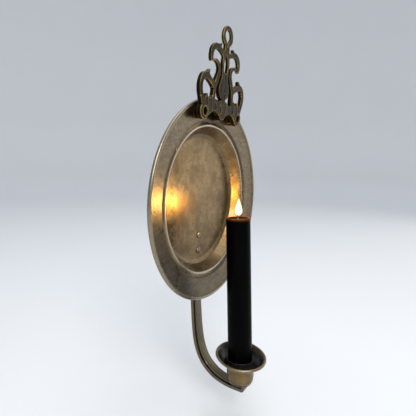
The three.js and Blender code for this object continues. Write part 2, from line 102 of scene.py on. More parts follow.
class Finish:
    """A material with a Principled shader and short ways to wire procedural nodes."""

    def __init__(self, name, **sockets):
        self.material = bpy.data.materials.new(name)
        self.material.use_nodes = True
        self.tree = self.material.node_tree
        self.shader = self.tree.nodes["Principled BSDF"]
        self.set(self.shader, sockets)
        self.object_point = self.node("ShaderNodeTexCoord").outputs["Object"]

    def set(self, node, values):
        for key, value in values.items():
            socket = node.inputs[key] if isinstance(key, int) else node.inputs[key.replace("_", " ")]
            if isinstance(value, bpy.types.NodeSocket):
                self.tree.links.new(value, socket)
            else:
                socket.default_value = value

    def node(self, kind, inputs=None, **settings):
        made = self.tree.nodes.new(kind)
        for key, value in settings.items():
            setattr(made, key, value)
        self.set(made, inputs or {})
        return made

    def math(self, operation, *values, clamp=False):
        inputs = dict(enumerate(values))
        return self.node("ShaderNodeMath", inputs, operation=operation, use_clamp=clamp).outputs[0]

    def times(self, a, b):
        return self.math("MULTIPLY", a, b)

    def plus(self, a, b):
        return self.math("ADD", a, b)

    def minus(self, a, b):
        return self.math("SUBTRACT", a, b)

    def wire(self, **sockets):
        """Gives the shader's sockets a value or a link; an underscore stands for a space."""
        self.set(self.shader, sockets)

    def linked_colour(self):
        """What the shader's base colour is linked to so far."""
        return self.shader.inputs["Base Color"].links[0].from_socket

    def stretched(self, scale, point=None):
        inputs = {"Vector": point or self.object_point, "Scale": scale}
        return self.node("ShaderNodeMapping", inputs).outputs[0]

    def noise(self, scale, detail=4.0, roughness=0.55, distortion=0.0, point=None):
        inputs = {
            "Vector": point or self.object_point,
            "Scale": scale,
            "Detail": detail,
            "Roughness": roughness,
            "Distortion": distortion,
        }
        return self.node("ShaderNodeTexNoise", inputs).outputs["Fac"]

    def ramp(self, value, low, high, out_low=0.0, out_high=1.0):
        """A smooth step of value from low to high."""
        inputs = {"Value": value, "From Min": low, "From Max": high, "To Min": out_low, "To Max": out_high}
        settings = {"interpolation_type": "SMOOTHSTEP", "clamp": True}
        return self.node("ShaderNodeMapRange", inputs, **settings).outputs[0]

    def mix(self, factor, a, b):
        """Colour a where factor is 0, colour b where it is 1."""
        made = self.node("ShaderNodeMix", data_type="RGBA")
        self.set(made, {0: factor, 6: a, 7: b})
        return made.outputs[2]

    def bump(self, height, strength, distance):
        inputs = {"Height": height, "Strength": strength, "Distance": distance}
        return self.node("ShaderNodeBump", inputs).outputs["Normal"]

    def split(self, point):
        return self.node("ShaderNodeSeparateXYZ", {"Vector": point}).outputs

    def moved(self, offset):
        """The object point with offset taken away, a row-frame vector."""
        inputs = {0: self.object_point, 1: tuple(offset)}
        return self.node("ShaderNodeVectorMath", inputs, operation="SUBTRACT").outputs[0]

    def length(self, vector, axes):
        """The vector's length with the axes not named left out."""
        keep = tuple(1.0 if axis in axes else 0.0 for axis in "XYZ")
        flat = self.node("ShaderNodeVectorMath", {0: vector, 1: keep}, operation="MULTIPLY").outputs[0]
        return self.node("ShaderNodeVectorMath", {0: flat}, operation="LENGTH").outputs["Value"]

    def pointiness(self, low, high):
        return self.ramp(self.node("ShaderNodeNewGeometry").outputs["Pointiness"], low, high)

    def combine(self, x, y, z):
        return self.node("ShaderNodeCombineXYZ", {"X": x, "Y": y, "Z": z}).outputs[0]


def rgb(red, green, blue):
    return (red, green, blue, 1.0)


def spun_pewter(name, centre, axes):
    """Worn, warm grey metal with faint turning marks round an axis, and brown tarnish patches."""
    finish = Finish(name, Metallic=1.0)
    point = finish.moved(centre)
    radius = finish.length(point, axes)
    clouds = finish.noise(48, detail=7, roughness=0.62, distortion=0.2)
    spots = finish.noise(190, detail=5, roughness=0.65)
    turning = finish.combine(finish.times(radius, 1500.0), 0.0, 0.0)
    marks = finish.noise(1.0, detail=3, point=turning)
    scratches = finish.noise(1.0, detail=4, roughness=0.7, point=finish.stretched((260, 900, 1900)))
    clean = finish.mix(finish.ramp(spots, 0.35, 0.7), rgb(0.162, 0.109, 0.050), rgb(0.254, 0.180, 0.092))
    patina = finish.mix(finish.ramp(clouds, 0.40, 0.72, 0.0, 0.8), clean, rgb(0.090, 0.058, 0.027))
    pitted = finish.mix(finish.ramp(spots, 0.62, 0.8), patina, rgb(0.045, 0.033, 0.022))
    bright = finish.pointiness(0.51, 0.56)
    finish.wire(Base_Color=finish.mix(bright, pitted, rgb(0.42, 0.36, 0.27)))
    worn = finish.ramp(clouds, 0.3, 0.7, 0.24, 0.33)
    finish.wire(Roughness=finish.plus(worn, finish.ramp(spots, 0.4, 0.8, 0.0, 0.10)))
    height = finish.plus(finish.times(marks, 0.35), finish.times(scratches, 0.5))
    height = finish.plus(height, finish.times(spots, 0.6))
    finish.wire(Normal=finish.bump(height, 0.28, 0.00025))
    return finish


def plate_finish():
    """The reflector's metal: darker brushed brim, tarnished floor, and polished lines on its raised edges."""
    finish = spun_pewter("reflector_metal", PLATE, "XZ")
    point = finish.moved(PLATE)
    radius = finish.length(point, "XZ")
    x, y, z = finish.split(point)
    old = finish.linked_colour()
    brim = finish.ramp(radius, 0.0745, 0.078)
    dust = finish.noise(1.0, detail=5, roughness=0.7, point=finish.stretched((120, 500, 420)))
    brim_tone = finish.mix(finish.ramp(dust, 0.35, 0.7), rgb(0.110, 0.086, 0.053), rgb(0.172, 0.137, 0.087))
    colour = finish.mix(brim, old, brim_tone)
    groove = finish.times(finish.ramp(radius, 0.0757, 0.0766), finish.ramp(radius, 0.0788, 0.0774))
    colour = finish.mix(finish.times(groove, 0.75), colour, rgb(0.055, 0.046, 0.034))
    corner = finish.times(finish.ramp(radius, 0.0612, 0.0636), finish.ramp(radius, 0.0664, 0.0642))
    colour = finish.mix(finish.times(corner, 0.5), colour, rgb(0.12, 0.09, 0.06))
    edge = finish.times(finish.ramp(radius, 0.0714, 0.0722), finish.ramp(radius, 0.0744, 0.0732))
    bead = finish.ramp(radius, 0.0945, 0.0955)
    polished = finish.math("MAXIMUM", edge, finish.times(bead, 0.45))
    colour = finish.mix(polished, colour, rgb(0.40, 0.345, 0.26))
    run = finish.ramp(finish.math("ABSOLUTE", x), 0.006, 0.001)
    run = finish.times(run, finish.ramp(z, 0.0, -0.02))
    run = finish.times(run, finish.ramp(finish.noise(160, detail=4), 0.42, 0.6))
    run = finish.times(run, finish.ramp(radius, 0.064, 0.060))
    colour = finish.mix(finish.times(run, 0.6), colour, rgb(0.10, 0.075, 0.045))
    back = finish.ramp(finish.split(finish.node("ShaderNodeNewGeometry").outputs["Normal"])[1], 0.1, 0.5)
    mottle = finish.ramp(finish.noise(150, detail=7), 0.35, 0.7)
    dull = finish.mix(mottle, rgb(0.10, 0.083, 0.058), rgb(0.165, 0.14, 0.10))
    colour = finish.mix(back, colour, dull)
    finish.wire(Base_Color=colour)
    return finish.material


def dark_cast_bronze():
    """Dark olive-brown cast metal, black in the hollows, rubbed to gold on its edges, with painted shade on
    every face not turned to the front.
    """
    finish = Finish("crest_bronze", Specular_IOR_Level=0.08)
    grain = finish.noise(420, detail=6, roughness=0.7)
    clouds = finish.noise(60, detail=5, distortion=0.4)
    body = finish.mix(finish.ramp(clouds, 0.35, 0.65), rgb(0.007, 0.0052, 0.0018), rgb(0.024, 0.0175, 0.0065))
    # Painted shade: the sides of the bands and lobes, turned away from the front, are darkened almost to
    # black.
    facing_y = finish.split(finish.node("ShaderNodeNewGeometry").outputs["Normal"])[1]
    body = finish.mix(finish.ramp(facing_y, -0.8, -0.35, 0.0, 0.85), body, rgb(0.004, 0.003, 0.002))
    hollow = finish.minus(1.0, finish.pointiness(0.44, 0.49))
    body = finish.mix(hollow, body, rgb(0.008, 0.006, 0.004))
    rub = finish.times(finish.pointiness(0.505, 0.545), finish.ramp(clouds, 0.35, 0.6, 0.35, 1.0))
    finish.wire(Base_Color=finish.mix(rub, body, rgb(0.40, 0.27, 0.085)))
    finish.wire(Metallic=finish.ramp(rub, 0.0, 1.0, 0.35, 1.0))
    finish.wire(Roughness=finish.ramp(grain, 0.3, 0.7, 0.26, 0.46))
    finish.wire(Normal=finish.bump(grain, 0.35, 0.0003))
    return finish.material


def brushed_strap():
    """Tan brass drawn lengthwise: fine lines that follow the strap, with rubbed edges."""
    finish = Finish("strap_brass", Metallic=1.0, Anisotropic=0.4)
    along = finish.node("ShaderNodeUVMap", uv_map="grain").outputs[0]
    lines = finish.noise(1.0, detail=5, roughness=0.65, point=finish.stretched((18, 2600, 1), along))
    fine = finish.noise(1.0, detail=4, roughness=0.7, point=finish.stretched((60, 7000, 1), along))
    clouds = finish.noise(70, detail=5, distortion=0.5)
    colour = finish.mix(finish.ramp(lines, 0.32, 0.7), rgb(0.095, 0.078, 0.048), rgb(0.19, 0.16, 0.108))
    colour = finish.mix(finish.ramp(clouds, 0.5, 0.72, 0.0, 0.6), colour, rgb(0.07, 0.052, 0.030))
    colour = finish.mix(finish.pointiness(0.52, 0.58), colour, rgb(0.36, 0.29, 0.195))
    finish.wire(Base_Color=colour)
    finish.wire(Roughness=finish.ramp(fine, 0.3, 0.7, 0.34, 0.5))
    height = finish.plus(lines, finish.times(fine, 0.5))
    finish.wire(Normal=finish.bump(height, 0.3, 0.0002))
    return finish.material


def rivet_metal():
    """Small brass fasteners: hammered, tarnished in the hollows, bright on the crown."""
    finish = Finish("rivet_brass", Metallic=1.0)
    dents = finish.noise(700, detail=3)
    stain = finish.noise(300, detail=5)
    colour = finish.mix(finish.ramp(stain, 0.35, 0.7), rgb(0.27, 0.22, 0.14), rgb(0.10, 0.078, 0.046))
    crown = finish.pointiness(0.52, 0.6)
    finish.wire(Base_Color=finish.mix(crown, colour, rgb(0.68, 0.57, 0.38)))
    finish.wire(Roughness=finish.ramp(stain, 0.3, 0.7, 0.26, 0.5))
    finish.wire(Normal=finish.bump(dents, 0.5, 0.0004))
    return finish.material


def sooty_pan(axis_point):
    """The drip pan: pewter outside and on the rim, black with soot and wax towards the candle."""
    finish = spun_pewter("pan_metal", axis_point, "XY")
    point = finish.moved(axis_point)
    radius = finish.length(point, "XY")
    x, y, z = finish.split(point)
    upward = finish.split(finish.node("ShaderNodeNewGeometry").outputs["Normal"])[2]
    blotch = finish.noise(170, detail=6, roughness=0.65, distortion=0.5)
    reach = finish.plus(radius, finish.times(finish.minus(blotch, 0.5), 0.008))
    # The clean patch is on the right, towards the room.
    side = finish.plus(finish.times(x, 0.55), finish.times(y, -0.15))
    reach = finish.plus(reach, finish.times(side, 0.35))
    soot = finish.times(finish.ramp(reach, 0.0262, 0.0225), finish.ramp(upward, 0.02, 0.18))
    soot = finish.times(soot, finish.ramp(radius, 0.0221, 0.0213))
    old = finish.linked_colour()
    finish.wire(Base_Color=finish.mix(soot, old, rgb(0.006, 0.005, 0.005)))
    finish.wire(Metallic=finish.minus(1.0, finish.times(soot, 0.85)))
    return finish.material


def smoked_socket(top):
    """The socket: pewter below, blackened at and inside its mouth."""
    finish = spun_pewter("socket_metal", top, "XY")
    z = finish.split(finish.moved(top))[2]
    inside = finish.ramp(finish.length(finish.moved(top), "XY"), 0.0124, 0.0119)
    smoke = finish.math("MAXIMUM", finish.ramp(z, -0.0075, -0.0035), inside)
    old = finish.linked_colour()
    finish.wire(Base_Color=finish.mix(smoke, old, rgb(0.012, 0.010, 0.009)))
    finish.wire(Metallic=finish.minus(1.0, finish.times(smoke, 0.8)))
    return finish.material


def black_wax(top):
    """Black candle wax with a soft sheen, faint handling marks, and painted light: an orange glow in its thin
    top rim.
    """
    finish = Finish("black_wax", Specular_IOR_Level=0.03)
    point = finish.moved(top)
    x, y, z = finish.split(point)
    streaks = finish.noise(1.0, detail=4, roughness=0.6, point=finish.stretched((380, 380, 22)))
    smears = finish.noise(90, detail=5, distortion=0.6)
    streaked = finish.ramp(streaks, 0.4, 0.75)
    colour = finish.mix(streaked, rgb(0.0003, 0.0003, 0.0004), rgb(0.0010, 0.0010, 0.0012))
    # Painted light: the thin top rim is tinted orange and made to emit, as if the flame lit it through.
    glow = finish.times(finish.ramp(z, -0.0030, 0.0002), finish.ramp(smears, 0.2, 0.7, 0.6, 1.0))
    glow = finish.times(glow, finish.ramp(finish.length(point, "XY"), 0.0094, 0.0106))
    colour = finish.mix(finish.times(glow, 0.2), colour, rgb(0.12, 0.035, 0.012))
    finish.wire(Base_Color=colour)
    finish.wire(Roughness=finish.ramp(smears, 0.3, 0.75, 0.30, 0.46))
    height = finish.plus(streaks, finish.times(smears, 0.8))
    finish.wire(Normal=finish.bump(height, 0.16, 0.0004))
    finish.wire(Emission_Color=rgb(1.0, 0.34, 0.07), Emission_Strength=finish.times(glow, 0.12))
    return finish.material


def charred_wick(tip):
    finish = Finish("charred_cotton", Roughness=0.95)
    point = finish.moved(tip)
    strands = finish.noise(1500, detail=4, roughness=0.7)
    colour = finish.mix(finish.ramp(strands, 0.35, 0.7), rgb(0.006, 0.005, 0.005), rgb(0.045, 0.035, 0.03))
    ember = finish.ramp(finish.length(point, "XYZ"), 0.0022, 0.0006)
    finish.wire(Base_Color=colour, Emission_Color=rgb(1.0, 0.28, 0.05))
    finish.wire(Emission_Strength=finish.times(ember, 1.2))
    finish.wire(Normal=finish.bump(strands, 0.8, 0.0005))
    return finish.material


def flame_glow(name, foot, height, low_colour, high_colour, strength, alpha):
    """A flame skin: colour, brightness and density change with height above the wick."""
    finish = Finish(name, Roughness=1.0, Specular_IOR_Level=0.0)
    z = finish.split(finish.moved(foot))[2]
    rise = finish.math("DIVIDE", z, height)
    flicker = finish.noise(400, detail=2)
    share = finish.ramp(finish.plus(rise, finish.times(flicker, 0.1)), 0.1, 0.95)
    brighter = finish.ramp(rise, 0.0, 0.3, 0.35, 1.0)
    denser = finish.ramp(rise, -0.02, 0.22, 0.25, 1.0)
    finish.wire(Base_Color=rgb(0, 0, 0), Emission_Color=finish.mix(share, low_colour, high_colour))
    finish.wire(Emission_Strength=finish.times(brighter, strength), Alpha=finish.times(denser, alpha))
    return finish.material


# ---------------------------------------------------------------- mesh tools


def fillet(points, radius, steps=4, closed=True):
    """Rounds a polyline's corners, and leaves a support point either side of each on long runs."""
    spots = [Vector(p[:2]) for p in points]
    radii = [p[2] if len(p) > 2 else radius for p in points]
    out = []
    count = len(spots)
    for i, spot in enumerate(spots):
        if not closed and i in (0, count - 1):
            out.append(spot)
            continue
        before, after = spots[i - 1] - spot, spots[(i + 1) % count] - spot
        cut_in, cut_out = min(radii[i], before.length * 0.45), min(radii[i], after.length * 0.45)
        start, end = spot + before.normalized() * cut_in, spot + after.normalized() * cut_out
        if before.length > 4 * cut_in:
            out.append(spot + before.normalized() * cut_in * 1.5)
        for k in range(steps + 1):
            t = k / steps
            out.append(start * (1 - t) ** 2 + spot * 2 * t * (1 - t) + end * t * t)
        if after.length > 4 * cut_out:
            out.append(spot + after.normalized() * cut_out * 1.5)
    return out


def arc(centre, radius, first, last, steps):
    angles = [math.radians(first + (last - first) * i / steps) for i in range(steps + 1)]
    return [(centre[0] + radius * math.cos(a), centre[1] + radius * math.sin(a)) for a in angles]


def step(line, i):
    """From the point before a line's point i to the point after it."""
    return line[min(i + 1, len(line) - 1)] - line[max(i - 1, 0)]


def smooth_line(points, steps):
    """A Catmull-Rom line through points of any size, with steps samples to each stretch."""
    ends = [2 * Vector(points[0]) - Vector(points[1])]
    rest = [2 * Vector(points[-1]) - Vector(points[-2])]
    knots = ends + [Vector(p) for p in points] + rest
    line = []
    for a, b, c, d in zip(knots, knots[1:], knots[2:], knots[3:]):
        for k in range(steps):
            t = k / steps
            square, cube = 2 * a - 5 * b + 4 * c - d, 3 * b - a - 3 * c + d
            line.append(0.5 * (2 * b + (c - a) * t + square * t**2 + cube * t**3))
    return line + [Vector(points[-1])]


def lathe(profile, segments, point_at):
    """A closed [radius, height] profile turned about an axis; points on the axis become poles."""
    vertices, rings = [], []
    for radius, height in profile:
        if radius < 1e-6:
            rings.append([len(vertices)] * segments)
            vertices.append(point_at(0.0, 0.0, height))
            continue
        rings.append(range(len(vertices), len(vertices) + segments))
        vertices += [point_at(radius, math.tau * k / segments, height) for k in range(segments)]
    faces = []
    for a, b in zip(rings, [*rings[1:], rings[0]]):
        for k in range(segments):
            corners = [a[k], b[k], b[(k + 1) % segments], a[(k + 1) % segments]]
            face = list(dict.fromkeys(corners))
            if len(face) > 2:
                faces.append(face)
    return vertices, faces


def loft(rings):
    """Rings of equally many points joined into one closed skin."""
    size = len(rings[0])
    vertices = [p for ring in rings for p in ring]
    faces = [list(range(size)), list(range(len(vertices) - size, len(vertices)))]
    for i in range(len(rings) - 1):
        for k in range(size):
            m = (k + 1) % size
            faces.append([i * size + k, (i + 1) * size + k, (i + 1) * size + m, i * size + m])
    return vertices, faces


def upright(x, y):
    """point_at for lathe(): a vertical axis through (x, y)."""

    def point_at(radius, angle, height):
        return place(x + radius * math.cos(angle), y + radius * math.sin(angle), height)

    return point_at


def on_candle_axis(spread=None):
    """point_at for lathe(): the leaning axis of the socket and candle."""

    def point_at(radius, angle, height):
        wide = radius + (spread(radius, angle, height) if spread and radius > 0 else 0.0)
        return lean_back(wide * math.cos(angle), CANDLE_Y + wide * math.sin(angle), height)

    return point_at


def facing(x, z, spread=None):
    """point_at for lathe(): an axis along Y through (x, z)."""

    def point_at(radius, angle, height):
        lift = spread(radius, angle, height) if spread else 0.0
        return place(x + radius * math.cos(angle), height + lift, z + radius * math.sin(angle))

    return point_at


def piece(name, skins, material, body="sconce", replaces=(), sharp=42.0):
    """One object from closed skins, each (vertices, faces), with normals outward and smooth shading."""
    model = bmesh.new()
    for vertices, faces in skins:
        made = [model.verts.new(v) for v in vertices]
        for face in faces:
            model.faces.new([made[i] for i in face])
    bmesh.ops.remove_doubles(model, verts=model.verts, dist=1e-7)
    bmesh.ops.recalc_face_normals(model, faces=model.faces)
    mesh = bpy.data.meshes.new(name)
    model.to_mesh(mesh)
    model.free()
    return register(name, mesh, material, body, replaces, sharp)


def added(name, data):
    """A new object with this data, linked into the scene."""
    made = bpy.data.objects.new(name, data)
    bpy.context.collection.objects.link(made)
    return made


def register(name, mesh, material, body, replaces, sharp):
    mesh.polygons.foreach_set("use_smooth", [True] * len(mesh.polygons))
    mesh.set_sharp_from_angle(angle=math.radians(sharp))
    mesh.materials.clear()
    mesh.materials.append(material)
    made = added(name, mesh)
    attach(made, body)
    if replaces:
        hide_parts(*replaces)
    return made


def applied(obj):
    """The object's mesh with its modifiers applied, as a new mesh; the object is removed."""
    graph = bpy.context.evaluated_depsgraph_get()
    mesh = bpy.data.meshes.new_from_object(obj.evaluated_get(graph))
    bpy.data.objects.remove(obj, do_unlink=True)
    return mesh


def subtract(obj, cutter):
    cut = obj.modifiers.new(cutter.name, "BOOLEAN")
    cut.operation, cut.object, cut.solver = "DIFFERENCE", cutter, "EXACT"


# ---------------------------------------------------------------- reflector plate

WELL_FLOOR = 64.8
WELL_EDGE = 72.6
LEDGE = 76.8
WELL_DEPTH = 15.0
SHEET = 1.2
BEAD, BEAD_Y = 1.9, 0.2
BRIM = [(LEDGE, 2.5), (85.6, 1.3), (94.5, -0.4)]


def plate_profile():
    bead_at = PLATE_RADIUS - BEAD
    front = [
        (0, WELL_DEPTH), (30, WELL_DEPTH), (WELL_FLOOR - 3, WELL_DEPTH), (WELL_FLOOR + 0.6, WELL_DEPTH - 1.6),
        (WELL_EDGE - 2.4, 5.4), (WELL_EDGE - 0.8, 2.9), (WELL_EDGE + 0.4, 2.75), (WELL_EDGE + 1.4, 3.2),
        (LEDGE - 1, 3.8), (LEDGE - 0.1, 3.7), (LEDGE + 0.5, 2.45), BRIM[1], (bead_at - 1.7, -0.3),
    ]
    bead = arc((bead_at, BEAD_Y), BEAD, 236, 440, 16)
    back = [(r, y + SHEET * (1.6 if WELL_FLOOR < r < 71 else 1.0)) for r, y in reversed(front)]
    back[0] = (bead_at - 2.1, 1.4)
    return fillet(front, 0.8, closed=False) + [Vector(p) for p in bead] + fillet(back, 0.8, closed=False)


def old_sheet(radius, angle, height):
    """The slight unevenness of an old hand-worked sheet, in millimetres."""
    spot = Vector((radius * math.cos(angle), radius * math.sin(angle), 0)) * 0.03
    return noise.noise(spot) * 0.30 * min(1.0, radius / 40) * (0.4 if radius > 94 else 1.0)


def solder_mark(x, z, size):
    """A little raised bead of solder on the ledge."""
    rounds = []
    for i in range(1, 7):
        lift = math.pi / 2 * i / 7
        rounds.append((size * math.cos(lift), 3.4 - size * 0.7 * math.sin(lift)))
    profile = [(0, 4.3), (size * 0.9, 4.3), (size, 3.4), *rounds, (0, 3.4 - size * 0.7)]
    return lathe(profile, 24, facing(x, z))


mark_left = solder_mark(-57.5, 47.5, 1.0)
mark_right = solder_mark(29.5, 69.0, 1.1)
piece(
    "reflector_plate",
    [lathe(plate_profile(), 288, facing(0, 0, old_sheet)), mark_left, mark_right],
    plate_finish(), replaces=["reflector_plate"],
)

# ---------------------------------------------------------------- crest

CREST_FRONT = -8.3
CREST_THICK = 4.4
CREST_BACK = CREST_FRONT + CREST_THICK
LOBE_X, LOBE_Z, LOBE_RADIUS = 31.8, 82.0, 7.2
LUG_RADIUS = 6.2
EYE_RADIUS = 3.5
MIDDLE_Z, MIDDLE_RADIUS = 83.5, 6.4
CREST_LEAN = 3.3
TAPER_FROM, TAPER_TO, TOP_THICK = 100.0, 163.0, 2.2


def cast(x, y, z):
    """A point of the crest, given as if it were upright and even, thinned above and leaning forward."""
    share = min(1.0, max(0.0, (z - TAPER_FROM) / (TAPER_TO - TAPER_FROM)))
    depth = (y - CREST_FRONT) * (1 - share * (1 - TOP_THICK / CREST_THICK))
    return place(*tipped(x, CREST_FRONT + depth, z, CREST_LEAN, CREST_FRONT, LOBE_Z))


def brim_front(radius):
    """Height of the brim's front at a radius."""
    for (r0, y0), (r1, y1) in zip(BRIM, BRIM[1:]):
        if radius < r1:
            break
    return y0 + (y1 - y0) * (radius - r0) / (r1 - r0)


# Each band follows a smooth line of [x, z, half width].
BANDS = {
    "lower_scroll": [
        (32, 86, 4.2), (37.2, 93.5, 2.6), (39.8, 100.5, 2.4), (39.4, 106.5, 2.5), (36, 111.3, 2.9),
        (30.5, 112.2, 2.9), (25, 109.8, 2.5), (20.4, 107, 2.2), (17.4, 103.6, 1.8),
    ],
    "lower_tip": [(32.2, 112, 2.4), (29.4, 115.2, 1.8), (27.8, 118, 0.5)],
    "inner_bump": [(30.4, 90, 3), (30, 94, 2.1), (29.4, 97.4, 0.7)],
    "stem": [
        (18.4, 89, 3), (17.4, 99, 2.1), (16.8, 106, 2.3), (13.6, 112.8, 2.4), (11.2, 118.4, 2.1),
        (11.4, 123.2, 1.9), (14.4, 126.8, 1.7), (18.8, 128, 1.2), (22, 127.4, 0.5),
    ],
    "upper_scroll": [
        (2, 134, 1.8), (7, 137, 2.1), (13.5, 139.4, 2.3), (19.5, 139.8, 2.5), (24.6, 136, 2.5),
        (26, 130.5, 2.2), (25, 125.6, 1.5),
    ],
    "upper_tip": [(15.4, 139.6, 2.3), (12.6, 141.8, 1.7), (10.6, 143.8, 0.5)],
    "trunk": [
        (4, 117, 1.8), (4.8, 124, 1.2), (4.6, 131, 1.5), (2.6, 137, 2.3), (2.2, 142, 2), (2.8, 146.4, 1.8),
    ],
    "leaf_half": [
        (0.4, 93.6, 0.5), (2.0, 97, 2.2), (4.0, 101, 4.4), (4.6, 105, 4.8), (3.7, 109.5, 4.2),
        (2.9, 114.5, 3.0), (2.6, 120.4, 2.5),
    ],
    "ring_half": [
        (1.8, 145.2, 1.6), (5.6, 148.2, 2.2), (7.3, 151.8, 2.1), (6.6, 155.8, 2.0), (3.8, 159.0, 2.0),
        (0, 160.0, 1.7), (-2.0, 159.8, 1.6),
    ],
}
BASE_TOP = [(36, 90), (28, 93.6), (21.4, 96), (12.4, 91.4), (6, 94.6), (0, 96.6)]
# Raised pleats on the front of the base, each from its foot to its top.
PLEATS = [
    ((28.8, 84.5), (28.4, 94.5)),
    ((20.4, 84.8), (21.2, 97)),
    ((12.4, 85.5), (13.4, 90.8)),
    ((3.4, 82.5), (6, 94.5)),
]


def band_skin(points, front=CREST_FRONT, back=CREST_BACK):
    """A cast band: flat back, upright sides and a front with rounded shoulders."""
    line = smooth_line(points, 8)
    rings = []
    for i, at in enumerate(line):
        along = step(line, i).to_2d().normalized()
        across = Vector((-along.y, along.x))
        half = max(at.z, 0.35)
        soft = min(0.75, half * 0.42)
        nick = soft * 0.35
        left = [(-half, back), (-half, front + soft), (-half + nick, front + nick), (-half + soft, front)]
        section = [*left, (0, front - 0.12), *[(-s, y) for s, y in reversed(left)]]
        rings.append([cast(at.x + across.x * s, y, at.y + across.y * s) for s, y in section])
    return loft(rings)


def mirror_x(points):
    return [(-p[0], *p[1:]) for p in points]


def base_skin():
    """The base: peaks along its top and an arch each side of the middle lobe."""
    arch = [(LOBE_X - 6, LOBE_Z - 3.4), (20, 82.6), (14.5, 84.2), (9.5, 82.6), (5.6, MIDDLE_Z - 3)]
    right = [(LOBE_X, LOBE_Z - 2), (LOBE_X + 3.4, LOBE_Z + 4), *BASE_TOP]
    outline = [*right, *reversed(mirror_x(right[:-1])), *mirror_x(arch), *reversed(arch)]
    rings = []
    for y, inset in ((CREST_BACK, 0), (CREST_FRONT + 0.6, 0), (CREST_FRONT + 0.2, 0.3), (CREST_FRONT, 0.7)):
        middle = Vector((0, 88))
        ring = []
        for spot in outline:
            inward = middle - Vector(spot)
            inward.x *= 0.2
            ring.append(Vector(spot) + inward.normalized() * inset)
        rings.append([cast(p.x, y, p.y) for p in ring])
    return loft(rings)


def casting(x, z):
    """point_at for lathe(): an axis across the leaning casting at (x, z)."""

    def point_at(radius, angle, height):
        return cast(x + radius * math.cos(angle), height, z + radius * math.sin(angle))

    return point_at


def lobe(x, z, radius, soft=0.7):
    """One round lobe of the base, leaning with the casting."""
    nick = soft * 0.3
    profile = [(0, CREST_FRONT), (radius - soft, CREST_FRONT), (radius - nick, CREST_FRONT + nick)]
    profile += [(radius, CREST_FRONT + soft), (radius, CREST_BACK), (0, CREST_BACK)]
    return lathe(profile, 64, casting(x, z))


def lug(x, z):
    """A round post from a lobe's back down to the brim, whose slope its end follows."""
    start = CREST_BACK - 1.2

    def point_at(radius, angle, share):
        px, pz = x + radius * math.cos(angle), z + radius * math.sin(angle)
        return place(px, start + (brim_front(math.hypot(px, pz)) - 0.35 - start) * share, pz)

    return lathe([(0, 0), (LUG_RADIUS, 0), (LUG_RADIUS, 1), (0, 1)], 64, point_at)


def eye_rim(x, z):
    """A raised lip round the eye of an end lobe."""
    ring = arc((EYE_RADIUS + 0.9, CREST_FRONT + 0.15), 0.75, 0, 350, 12)
    return lathe(ring, 64, casting(x, z))


def pleat_skin(foot, top):
    """A low ridge that tapers upwards."""
    middle = (Vector(foot) + Vector(top)) / 2
    return band_skin([(*foot, 1.5), (*middle, 1.0), (*top, 0.4)], CREST_FRONT - 0.3, CREST_BACK - 1)


def crest_mesh():
    skins = [base_skin()]
    for points in BANDS.values():
        skins += [band_skin(points), band_skin(mirror_x(points))]
    for foot, top in PLEATS:
        for sign in (1, -1):
            skins.append(pleat_skin((foot[0] * sign, foot[1]), (top[0] * sign, top[1])))
    skins += [lobe(0, MIDDLE_Z, MIDDLE_RADIUS), lug(0, MIDDLE_Z)]
    for x in (LOBE_X, -LOBE_X):
        skins += [lobe(x, LOBE_Z, LOBE_RADIUS), lug(x, LOBE_Z)]
    skins += [eye_rim(LOBE_X, LOBE_Z), eye_rim(-LOBE_X, LOBE_Z)]
    solid = piece("crest_solid", skins, bronze)
    remesh = solid.modifiers.new("cast", "REMESH")
    remesh.mode = "VOXEL"
    remesh.voxel_size = 0.34 * MM
    cutter = eye_cutter()
    subtract(solid, cutter)
    worn = solid.modifiers.new("worn", "SMOOTH")
    worn.factor, worn.iterations = 0.5, 3
    mesh = applied(solid)
    bpy.data.objects.remove(cutter, do_unlink=True)
    return mesh


def eye_cutter():
    """What is sunk into the end lobes from the front, as deep as the casting is thick."""
    opening = CREST_FRONT - 2
    hole = [(0, opening), (EYE_RADIUS + 0.5, opening), (EYE_RADIUS, CREST_FRONT + 0.6)]
    hole += [(EYE_RADIUS, CREST_BACK), (0, CREST_BACK)]
    skins = [lathe(hole, 48, facing(sign * LOBE_X, LOBE_Z)) for sign in (1, -1)]
    return piece("eye_cutter", skins, bronze)


bronze = dark_cast_bronze()
register("crest", crest_mesh(), bronze, "sconce", ["crest"], 60.0)

# ---------------------------------------------------------------- fasteners

rivet_material = rivet_metal()
RIVET = 1.6
BORE = RIVET + GAP


def rivet_skin(front, back, front_head, back_head, x, z):
    """A shank along Y with a domed head at each end; a head is (radius, height)."""
    profile = [(0, front - front_head[1])]
    if front_head[0]:
        radius, height = front_head
        for lift in (75, 58, 40, 22, 6):
            a = math.radians(lift)
            profile.append((radius * math.cos(a), front - height * (0.1 + 0.9 * math.sin(a))))
        profile.append((radius * 0.98, front))
    profile += [(RIVET, front), (RIVET, back)]
    radius, height = back_head
    profile.append((radius, back))
    for lift in (8, 26, 46, 68):
        a = math.radians(lift)
        profile.append((radius * math.cos(a), back + height * (0.1 + 0.9 * math.sin(a))))
    profile.append((0, back + height))
    return lathe(profile, 40, facing(x, z))


def fastener(name, skin):
    """A brass piece that takes the place of the solid of the same name."""
    piece(name, [skin], rivet_material, replaces=[name])


def brim_back(radius):
    """Where a rear head sits, clear of the sloping back of the brim."""
    (r0, y0), (r1, y1) = BRIM[0], BRIM[-1]
    return y0 + (y1 - y0) * (radius - r0) / (r1 - r0) + SHEET + 1.1


for sign, side in ((-1, "left"), (1, "right")):
    behind = brim_back(math.hypot(LOBE_X, LOBE_Z))
    head = rivet_skin(CREST_BACK - 0.5, behind, (2.8, 1.6), (3.2, 1.5), sign * LOBE_X, LOBE_Z)
    fastener(f"crest_rivet_{side}", head)
pin = rivet_skin(CREST_BACK + 1.3, brim_back(MIDDLE_Z), (0, 0), (3.2, 1.5), 0, MIDDLE_Z)
fastener("crest_pin_middle", pin)

# ---------------------------------------------------------------- arm

